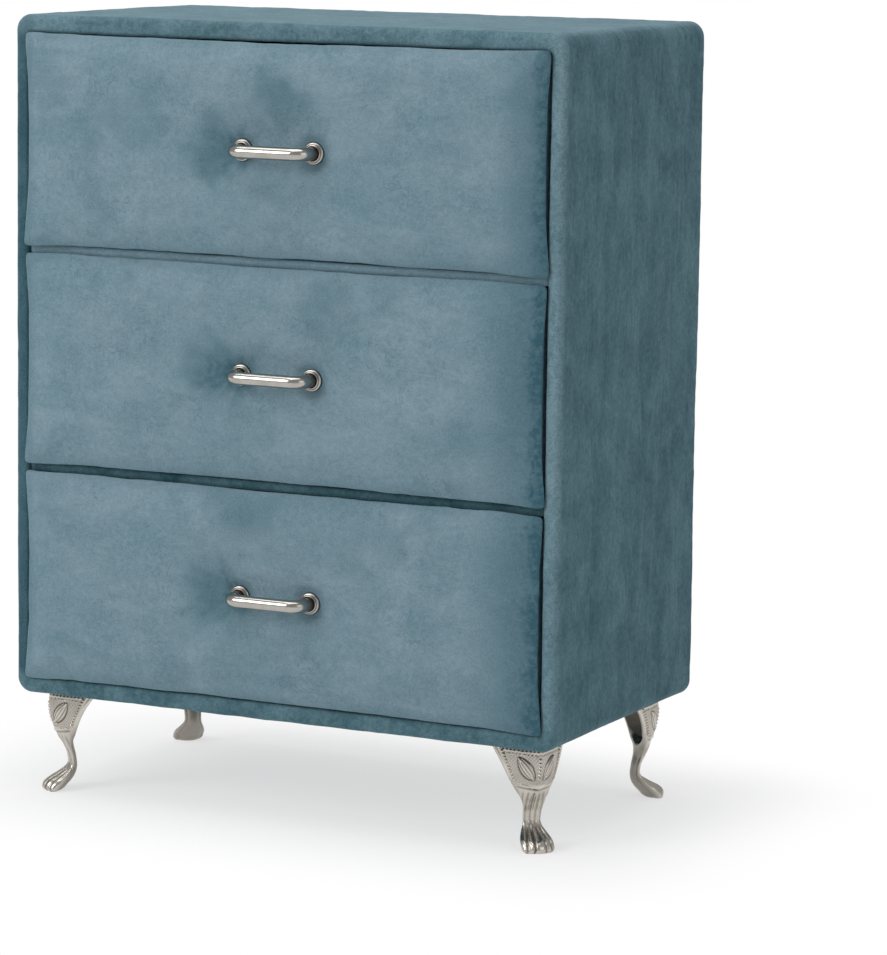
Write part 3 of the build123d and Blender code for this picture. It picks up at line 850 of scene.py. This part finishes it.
# Pulls: a round bar bent to a D, on two turned collars
BAR_RADIUS = 1.55
BAR_REACH = 6.2
BEND_RADIUS = 2.8
BAR_ROUND = 48
POST_STEPS, BEND_STEPS, GRIP_STEPS = 8, 15, 16
# Painted shade and dark reflection on the pull's posts, near the collars
POST_TONE, POST_TONE_SPAN = 0.8, (4.4, 1.2)
# Radius and height
COLLAR_PROFILE = np.array((
    (1.64, 0.0), (1.64, 0.95), (1.70, 1.10), (1.84, 1.18), (2.00, 1.14), (2.12, 1.00), (2.20, 0.92),
    (2.32, 0.90), (2.46, 0.84), (2.58, 0.70), (2.66, 0.50), (2.70, 0.28), (2.70, 0.0),
))
COLLAR_ROUND = 72
# Dark groove on the collar, and painted shade round its foot on the velvet
STEP_TONE, FOOT_TONE = 0.85, 0.7


def bar_path(tuft):
    """Points along the middle of a pull, in the x-y plane."""
    straight = BAR_REACH - BEND_RADIUS
    points = [(-POST_X, tuft - d) for d in np.linspace(0, straight, POST_STEPS)]
    for angle in np.radians(np.linspace(0, 90, BEND_STEPS)[1:]):
        x = -POST_X + BEND_RADIUS * (1 - math.cos(angle))
        points.append((x, tuft - straight - BEND_RADIUS * math.sin(angle)))
    grip = np.linspace(BEND_RADIUS - POST_X, 0, GRIP_STEPS)[1:]
    points += [(x, tuft - BAR_REACH) for x in grip]
    half = np.array(points)
    return np.concatenate((half, half[-2::-1] * (-1, 1)))


def turn_angles(count):
    """Angles of this many points round a circle."""
    return np.linspace(0, 2 * math.pi, count, endpoint=False)


for drawer in DRAWERS:
    body = f"{drawer}_drawer"
    low, high = node_box(f"{body}_handle")
    tuft, middle = high[1], (low[2] + high[2]) / 2
    path = bar_path(tuft)
    way = np.gradient(path, axis=0)
    way /= np.hypot(*way.T)[:, None]
    angles = turn_angles(BAR_ROUND)
    across = BAR_RADIUS * np.cos(angles)
    points = np.empty((len(path), BAR_ROUND, 3))
    points[..., 0] = path[:, :1] + way[:, 1:] * across
    points[..., 1] = path[:, 1:] - way[:, :1] * across
    points[..., 2] = middle + BAR_RADIUS * np.sin(angles)
    faces = list(grid_faces(len(path), BAR_ROUND, False, True)) + end_faces(len(path), BAR_ROUND)
    pull = add_mesh(f"{body}_pull", points.reshape(-1, 3), faces)
    # Painted shade and dark reflection on the posts, darkest at the collars
    post_tone = POST_TONE * ramp(path[:, 1], tuft - POST_TONE_SPAN[0], tuft - POST_TONE_SPAN[1])
    paint(pull, "hollow", np.repeat(post_tone, BAR_ROUND))
    dress(pull, pull_metal, body, "plated_metal", f"{body}_handle")

    radius, height = COLLAR_PROFILE[:, :1], COLLAR_PROFILE[:, 1:]
    spin = turn_angles(COLLAR_ROUND)
    ring_faces = grid_faces(len(COLLAR_PROFILE), COLLAR_ROUND, True, True)
    collar_points, collar_faces = [], []
    for number, side in enumerate((-1, 1)):
        ring = np.empty((len(COLLAR_PROFILE), COLLAR_ROUND, 3))
        ring[..., 0] = side * POST_X + radius * np.cos(spin)
        ring[..., 1] = tuft - height
        ring[..., 2] = middle + radius * np.sin(spin)
        collar_points.append(ring.reshape(-1, 3))
        collar_faces.append(ring_faces + number * len(COLLAR_PROFILE) * COLLAR_ROUND)
    collar_points, collar_faces = np.concatenate(collar_points), np.concatenate(collar_faces)
    collars = add_mesh(f"{body}_collars", collar_points, collar_faces)
    ring_tone = STEP_TONE * bump(COLLAR_PROFILE[:, 0] - 2.16, 0.12)
    # Painted shade round the foot of each collar, where it meets the velvet
    ring_tone += FOOT_TONE * ramp(COLLAR_PROFILE[:, 0], 2.6, 2.7)
    paint(collars, "hollow", np.tile(np.repeat(ring_tone, COLLAR_ROUND), 2))
    dress(collars, pull_metal, body, "plated_metal", f"{body}_rosettes")

# Legs: hollow cast cabriole legs with a carved knee, fluted shin and paw foot
LEG_HEIGHT = 25.0
LEG_INSET = 6.0
KNEE_DEPTH = 14.0 / math.sqrt(2)
LEG_WALL = 1.4
LEG_PLATE = 1.4
HOLLOW_END = 11.4
SIDE_COUNT = 90
FRONT_COUNT = 42
INNER_COUNT = 61
# Drop as a share of the height, front, back and half width as shares of the knee's depth, and
# roundness from 0 to 1
LEG_SECTIONS = np.array((
    (0.00, 0.00, -0.95, 0.95, 0.06), (0.17, 0.01, -0.71, 0.78, 0.15),
    (0.34, -0.08, -0.58, 0.61, 0.30), (0.46, -0.20, -0.55, 0.45, 0.50),
    (0.56, -0.36, -0.60, 0.29, 0.85), (0.68, -0.475, -0.67, 0.23, 1.00),
    (0.78, -0.42, -0.69, 0.24, 1.00), (0.84, -0.18, -0.65, 0.32, 1.00),
    (0.895, 0.08, -0.56, 0.39, 1.00), (0.945, 0.18, -0.44, 0.40, 1.00),
    (0.985, 0.17, -0.34, 0.375, 1.00), (1.00, 0.12, -0.28, 0.33, 1.00),
))
# Carving, with its lines as (distance along the outline from the knee, drop)
BORDER_LINE, LEAF_LINE = ((10.2, 1.4), (6.0, 8.6)), ((1.15, 8.1), (5.7, 2.7))
LEAF_WIDTH, LEAF_HEIGHT, CUT_DEPTH = 1.55, 0.24, 0.20
DOT_SPACING, DOT_DEPTH = 1.02, 0.24
EDGE_ROLL, LIP_DROP, LIP_SLOPE = 0.14, 10.0, 0.14
FLUTE_SPACING, FLUTE_DEPTH = 1.36, 0.18
TOE_DEPTH, TOE_WIDTH, OUTER_TOE = 0.44, 0.24, 2.15
TOE_DROPS, TOE_SPREAD = (19.0, 22.0, 24.75), (0.60, 1.27, 1.47)


def curve_through(places, values, at):
    """Smooth curve through a table of values."""
    slopes = np.gradient(values, places)
    n = np.clip(np.searchsorted(places, at, side="right") - 1, 0, len(places) - 2)
    width = places[n + 1] - places[n]
    t = (at - places[n]) / width
    start, end = values[n], values[n + 1]
    rise = width * (slopes[n] * t * (1 - t) ** 2 - slopes[n + 1] * t * t * (1 - t))
    return start + (end - start) * t * t * (3 - 2 * t) + rise


def arc_through(a, b, c, shares):
    """Points on the arcs from a through b to c, which hold one point for each level."""
    (ax, ay), (bx, by), (cx, cy) = a, b, c
    twice = 2 * (ax * (by - cy) + bx * (cy - ay) + cx * (ay - by))
    a2, b2, c2 = ax**2 + ay**2, bx**2 + by**2, cx**2 + cy**2
    x = (a2 * (by - cy) + b2 * (cy - ay) + c2 * (ay - by)) / twice
    y = (a2 * (cx - bx) + b2 * (ax - cx) + c2 * (bx - ax)) / twice
    radius = np.hypot(ax - x, ay - y)
    starts = np.arctan2(ay - y, ax - x)

    def turned(before, after):
        return (after - before + math.pi) % (2 * math.pi) - math.pi

    to_b = np.arctan2(by - y, bx - x)
    sweep = turned(starts, to_b) + turned(to_b, np.arctan2(cy - y, cx - x))
    angle = starts[:, None] + sweep[:, None] * shares
    x_points = x[:, None] + radius[:, None] * np.cos(angle)
    y_points = y[:, None] + radius[:, None] * np.sin(angle)
    return np.stack((x_points, y_points), -1)


def leg_outlines(drops):
    """Outer outlines across a leg, (level, point, (outwards, sideways)), back to front to back.

    With them come the front, back, half width, rear half width and bulge behind of each level.
    """
    places, *columns = LEG_SECTIONS.T
    at = drops / LEG_HEIGHT
    front, back, half, roundness = (curve_through(places, column, at) for column in columns)
    roundness = np.clip(roundness, 0, 1)
    front, back, half = front * KNEE_DEPTH, back * KNEE_DEPTH, half * KNEE_DEPTH
    bulge = np.minimum(0.45 * half, 0.45 * (front - back))
    bulge *= ramp(drops, HOLLOW_END - 1, HOLLOW_END + 4)
    back = back + bulge
    depth = front - back
    rear = half * (1 - 0.28 * roundness)
    side = (back + 0.45 * depth, half * (0.58 + 0.42 * roundness))
    shoulder = (front - depth * (0.10 + 0.14 * roundness), half * (0.13 + 0.45 * roundness))
    other_shoulder = (shoulder[0], -shoulder[1])
    side_shares = np.linspace(0, 1, SIDE_COUNT + 1)
    front_shares = np.linspace(0, 1, FRONT_COUNT + 1)
    side_points = arc_through((back, rear), side, shoulder, side_shares)
    front_points = arc_through(shoulder, (front, 0 * front), other_shoulder, front_shares)
    mirrored = side_points[:, ::-1] * (1, -1)
    outer = np.concatenate((side_points[:, :-1], front_points[:, :-1], mirrored), axis=1)
    return outer, front, back, half, rear, bulge


def beads(along, across, spacing, radius):
    """Row of half balls."""
    offset = ((along / spacing) % 1 - 0.5) * spacing
    return np.sqrt(np.clip(radius**2 - offset**2 - across**2, 0, None))


def on_line(side, drop, ends):
    """Distances along and across a line on the carved face, and the line's length."""
    start, end = np.array(ends)
    length = np.hypot(*(end - start))
    way = (end - start) / length
    along = (side - start[0]) * way[0] + (drop - start[1]) * way[1]
    across = (side - start[0]) * way[1] - (drop - start[1]) * way[0]
    return along, across, length


def dot_row(q, drop, at, radius, end, shift):
    """Row of pricked dots, as far as its end on both sides."""
    offset = ((q / DOT_SPACING + shift) % 1 - 0.5) * DOT_SPACING
    return bump(np.hypot(offset, drop - at), radius) * (np.abs(q) < end)


def carving(q, v, drop, edge, forward):
    """Height of the carving and depth of tone in its hollows.

    q goes along the outline from the knee, v sideways, edge is the distance from the wing's edge
    and forward goes from 0 at the back to 1 at the front.
    """
    side = np.abs(q)
    # Beads round the carved field and down the knee
    along, across, length = on_line(side, drop, BORDER_LINE)
    in_run = (along > 0) & (along < length)
    field = ramp(-across, -0.2, 0.2) * ramp(drop, 1.6, 1.9) * (1 - ramp(drop, 9.0, 9.5))
    border = np.where(in_run, beads(along, across, spacing=0.84, radius=0.33), 0)
    knee_row = beads(drop, q, spacing=0.90, radius=0.36) * ((drop > 2.6) & (drop < 7.7))
    beaded = np.maximum(border, knee_row)
    # Two rows of pricked dots under the top edge
    dots = dot_row(q, drop, at=0.95, radius=0.30, end=10.6, shift=0)
    dots += 0.6 * dot_row(q, drop, at=1.85, radius=0.24, end=9.6, shift=0.5)
    # Two leaves that open upwards from the knee, drawn in cut lines
    along, b, length = on_line(side, drop, LEAF_LINE)
    t, b = 2 * along / length - 1, np.abs(b)
    width = LEAF_WIDTH * np.clip(1 - t * t, 0, 1) ** 0.8
    leaf = ramp(width - b, -0.05, 0.2) * (np.abs(t) < 1)
    outer_cut = bump(b - width, 0.18) * (np.abs(t) < 1.0)
    inner_cut = 0.75 * bump(b - 0.52 * width, 0.15) * (np.abs(t) < 0.84)
    vein = 0.6 * bump(b, 0.12) * (np.abs(t) < 0.6)
    cuts = np.maximum.reduce((outer_cut, inner_cut, vein))
    hatch = np.sin(2 * math.pi * (0.75 * side - 0.66 * drop) / 0.62) * field * (1 - leaf)
    height = beaded + 0.025 * hatch - DOT_DEPTH * dots
    height += LEAF_HEIGHT * leaf * np.clip(1 - (b / np.maximum(width, 0.05)) ** 2, 0, 1)
    height -= CUT_DEPTH * cuts
    # Rolled edge of the wings and lip under the carved field
    height += EDGE_ROLL * bump(edge - 0.6, 0.45) * (1 - ramp(drop, 9.0, 11.5))
    under_lip = drop - LIP_DROP + LIP_SLOPE * side
    lip = ramp(forward, 0.2, 0.45)
    height += lip * (0.20 * bump(under_lip, 0.36) - 0.10 * bump(under_lip - 0.75, 0.3))
    # Flutes down the shin
    shin = ramp(drop, 10.6, 12.0) * (1 - ramp(drop, 18.0, 20.0)) * ramp(forward, 0.25, 0.45)
    flute = 0.5 - 0.5 * np.cos(2 * math.pi * q / FLUTE_SPACING)
    height -= FLUTE_DEPTH * flute * shin
    # Grooves between the toes
    toe = ramp(drop, 19.0, 20.6) * ramp(forward, 0.30, 0.5)
    spread = np.interp(drop, TOE_DROPS, TOE_SPREAD)
    groove = bump(np.abs(v) - spread, TOE_WIDTH)
    groove += 0.8 * bump(np.abs(v) - OUTER_TOE * spread, TOE_WIDTH)
    height -= TOE_DEPTH * groove * toe

    bare = field * (1 - leaf) * (1 - ramp(beaded, 0.02, 0.16))
    tones = (
        bare * (0.28 + 0.08 * hatch),
        0.65 * bump(across, 0.42) * in_run * (1 - ramp(border, 0.02, 0.16)),
        0.95 * np.clip(dots, 0, 1),
        0.85 * cuts,
        0.55 * lip * bump(under_lip - 0.6, 0.25),
        0.42 * flute**2 * shin,
        0.75 * np.clip(groove, 0, 1) * toe,
    )
    return height, np.clip(np.maximum.reduce(tones), 0, 1)


def leg_parts():
    """Points, faces, carved heights and hollow tones of a leg, with painted shade on its back and
    inside.

    Its knee is at the origin and it points along +x.
    """
    knee, shin = np.linspace(0, 10, 92)[:-1], np.linspace(10, 18, 42)[:-1]
    drops = np.concatenate((knee, shin, np.linspace(18, LEG_HEIGHT, 54)))
    plate = np.searchsorted(drops, LEG_PLATE)
    drops = np.insert(drops, plate, (LEG_PLATE, LEG_PLATE))
    outer, front, back, half, rear, bulge = leg_outlines(drops)
    steps = np.linspace(-1, 1, INNER_COUNT)[None, :]
    inside = ramp(drops[:, None] + 2.2 * steps**2, HOLLOW_END + 0.6, HOLLOW_END - 0.8)
    inside[: plate + 1] = 0
    hollow_front = front - LEG_WALL
    hollow_depth = hollow_front - back
    hollow_rear = half / (front - back) * hollow_depth
    bent = np.sqrt(steps**2 + 0.004) / math.sqrt(1.004)
    hollow_x = hollow_front[:, None] - hollow_depth[:, None] * bent
    hollow = np.stack((hollow_x, hollow_rear[:, None] * steps), axis=-1)
    behind = back[:, None] - bulge[:, None] * (1 - steps**2) ** 0.6
    straight = np.stack(np.broadcast_arrays(behind, 0.97 * rear[:, None] * steps), axis=-1)
    inner = straight + inside[:, :, None] * (hollow - straight)
    loops = np.concatenate((outer, inner), axis=1)
    levels, count = loops.shape[:2]
    down = np.repeat(-drops, count).reshape(levels, count, 1)
    points = np.concatenate((loops, down), axis=2).reshape(-1, 3)
    faces = list(grid_faces(levels, count, False, True)) + end_faces(levels, count)

    ways = np.linalg.norm(np.diff(outer, axis=1), axis=2)
    q = np.concatenate((np.zeros((levels, 1)), np.cumsum(ways, axis=1)), axis=1)
    middle = outer.shape[1] // 2
    edge = np.minimum(q, q[:, -1:] - q)
    q = q - q[:, middle : middle + 1]
    forward = (outer[..., 0] - back[:, None]) / (front - back)[:, None]
    drop = np.broadcast_to(drops[:, None], q.shape)
    height, tone = carving(q, outer[..., 1], drop, edge, forward)
    height *= ramp(drop, 0.05, 0.4) * (1 - ramp(drop, 24.6, 24.95)) * ramp(edge, 0.0, 0.4)
    height = np.concatenate((height, np.zeros((levels, count - q.shape[1]))), axis=1)
    # Painted shade and dark reflection on the back of the lower leg and on its inner faces, most
    # inside the hollow
    tone = np.maximum(tone, 0.5 * (1 - ramp(forward, 0.02, 0.5)) * ramp(drop, 7, 12))
    tone = np.concatenate((tone, 0.5 + 0.35 * inside), axis=1)
    return points, faces, height.ravel(), tone.ravel()


leg_points, leg_faces, leg_height, leg_tone = leg_parts()
knee_x = wrap_high[0] - LEG_INSET
leg_ends = (("front", case_front + LEG_INSET, -1), ("rear", case_back - LEG_INSET, 1))
for (end, knee_y, way_y), (side, way_x) in product(leg_ends, (("left", -1), ("right", 1))):
    turn = math.atan2(way_y, way_x)
    u, v, z = leg_points.T
    x = way_x * knee_x + u * math.cos(turn) - v * math.sin(turn)
    y = knee_y + u * math.sin(turn) + v * math.cos(turn)
    places = np.stack((x, y, wrap_low[2] + z), axis=1)
    leg = add_mesh(f"{end}_{side}_cabriole_leg", places, leg_faces)
    push(leg, leg_height)
    paint(leg, "hollow", leg_tone)
    dress(leg, leg_metal, "case", "plated_metal", f"{end}_{side}_leg")

# Mats on the drawer floors
MAT_STEPS = (88, 48)
MAT_EDGE = ((-0.5, 0.0, 0.5), (-0.2, 0.07, 0.8), (-0.05, 0.25, 0.95), (0.0, 0.5, 1.0))
MAT_WAVES = ((0.05, 8.0, 60), (0.03, 2.4, 70))
MAT_SINK = 0.06
MAT_STILL = 0.3  # depth below which the mat lies still
for seed, drawer in enumerate(DRAWERS):
    body = f"{drawer}_drawer"
    low, high = node_box(f"{body}_lining")
    size = high - low
    rings = (*MAT_EDGE, (0.0, size[2], 1.0))
    flat = panel_points(size[0] / 2, size[1] / 2, (0, 0), MAT_STEPS, rings)
    centre = (low + high) / 2
    places = (centre[0] + flat[:, 0], centre[1] + flat[:, 1], high[2] - flat[:, 2])
    places = np.stack(places, axis=1)
    mat = add_mesh(f"{body}_mat", places, panel_faces(MAT_STEPS, len(rings) - 1))
    nap = waves(places, MAT_WAVES, seed) - MAT_SINK
    push(mat, np.where(flat[:, 2] > MAT_STILL, 0, nap))
    turn_outwards(mat.data, close=True)
    dress(mat, lining_velvet, body, "lining", f"{body}_lining")

# Boards and screws keep their solids
for name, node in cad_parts.items():
    material = None
    if name.endswith("screws"):
        material = screw_steel
    elif name.endswith(("_panel", "_divider")):
        material = case_board
    elif name.endswith(("_board", "_side", "_back", "_base")):
        material = drawer_board
    if material:
        node.data.materials.clear()
        node.data.materials.append(material)

# Floor: grey paper with the shadow, which turns white away from the chest
FLOOR_HALF = 8.0
FLOOR_GREY = (0.93, 0.93, 0.93, 1.0)
WHITE = (1, 1, 1, 1)
NEAR_WHITE, WHITE_REACH = 0.62, 0.05
floor_mesh = bpy.data.meshes.new("floor")
corners = [(x * FLOOR_HALF, y * FLOOR_HALF, 0) for x, y in ((-1, -1), (1, -1), (1, 1), (-1, 1))]
floor_mesh.from_pydata(corners, [], [(0, 1, 2, 3)])
floor = add_object("floor", floor_mesh)
floor.location.y = (case_front + case_back) / 2 * MM
floor_nodes = Nodes("floor_paper")
floor_nodes.set(Base_Color=FLOOR_GREY, Roughness=0.9, Specular_IOR_Level=0.1)
half_footprint = (wrap_high[0] * MM, (case_back - case_front) / 2 * MM, 0)
apart = floor_nodes.place()
origin = (0, 0, 0)
for operation, other in (("ABSOLUTE", origin), ("SUBTRACT", half_footprint), ("MAXIMUM", origin)):
    apart = floor_nodes.add("VectorMath", {0: apart, 1: other}, operation=operation).outputs[0]
apart = floor_nodes.add("VectorMath", {0: apart}, operation="LENGTH").outputs["Value"]
far = floor_nodes.span(apart, 0.0, WHITE_REACH, NEAR_WHITE, 1.0)
rays = floor_nodes.add("LightPath").outputs
seen = floor_nodes.math("MAXIMUM", rays["Is Camera Ray"], rays["Is Glossy Ray"])
seen = floor_nodes.math("MAXIMUM", seen, rays["Is Transmission Ray"])
white = floor_nodes.add("Emission", {"Color": WHITE, "Strength": 1.0}).outputs[0]
share = floor_nodes.math("MULTIPLY", far, seen)
shaders = {0: share, 1: floor_nodes.shader.outputs[0], 2: white}
mixed = floor_nodes.add("MixShader", shaders).outputs[0]
floor_nodes.tree.links.new(mixed, floor_nodes.output.inputs["Surface"])
floor.data.materials.append(floor_nodes.material)

# World: white where it is seen directly, and a plain soft light on everything else
WORLD_LIGHT = 0.42
world = bpy.data.worlds.new("studio")
bpy.context.scene.world = world
world.use_nodes = True
tree = world.node_tree
background = tree.nodes["Background"]
background.inputs["Color"].default_value = WHITE
background.inputs["Strength"].default_value = WORLD_LIGHT
plain = tree.nodes.new("ShaderNodeBackground")
plain.inputs["Color"].default_value = WHITE
plain.inputs["Strength"].default_value = 1.0
world_rays = tree.nodes.new("ShaderNodeLightPath").outputs
seen = tree.nodes.new("ShaderNodeMath")
seen.operation = "MAXIMUM"
tree.links.new(world_rays["Is Camera Ray"], seen.inputs[0])
tree.links.new(world_rays["Is Transmission Ray"], seen.inputs[1])
mixed = tree.nodes.new("ShaderNodeMixShader")
for number, node in enumerate((seen, background, plain)):
    tree.links.new(node.outputs[0], mixed.inputs[number])
tree.links.new(mixed.outputs[0], tree.nodes["World Output"].inputs["Surface"])

# Lamps: name, place, size and power
LAMP_TARGET = (0, 0, 0.10)
SOFTBOXES = (
    ("key", (-0.60, -0.90, 0.62), 0.55, 5.2),
    ("top", (-0.10, -0.10, 1.10), 0.90, 5.5),
    ("side", (1.00, -0.35, 0.45), 0.60, 1.0),
)
for name, place, size, watts in SOFTBOXES:
    lamp = bpy.data.lights.new(name, "AREA")
    lamp.size = size
    lamp.energy = watts
    softbox = add_object(name, lamp)
    softbox.location = place
    aim = Vector(LAMP_TARGET) - Vector(place)
    softbox.rotation_euler = aim.to_track_quat("-Z", "Y").to_euler()

# Camera, from the straight edges and the printed sizes in the photo
AZIMUTH, ELEVATION, ROLL = (math.radians(angle) for angle in (26.23, 8.64, 0.80))
DISTANCE = 1.0096
TARGET = Vector((0.02365, 0.004375, 0.0804))
FOCAL_PIXELS = 4185.0
IMAGE_HEIGHT = 955
SENSOR = 36.0
backwards = Vector(
    (
        math.sin(AZIMUTH) * math.cos(ELEVATION),
        -math.cos(AZIMUTH) * math.cos(ELEVATION),
        math.sin(ELEVATION),
    )
)
level = Vector((math.cos(AZIMUTH), math.sin(AZIMUTH), 0))
upright = backwards.cross(level)
right = math.cos(ROLL) * level + math.sin(ROLL) * upright
upwards = math.cos(ROLL) * upright - math.sin(ROLL) * level
lens = bpy.data.cameras.new("camera")
lens.sensor_width = SENSOR
lens.lens = SENSOR * FOCAL_PIXELS / IMAGE_HEIGHT
lens.clip_start, lens.clip_end = 0.01, 50
camera = add_object("camera", lens)
turned = Matrix((right, upwards, backwards)).transposed().to_4x4()
camera.matrix_world = Matrix.Translation(TARGET + DISTANCE * backwards) @ turned
bpy.context.scene.camera = camera

bpy.context.scene.view_settings.view_transform = "Standard"
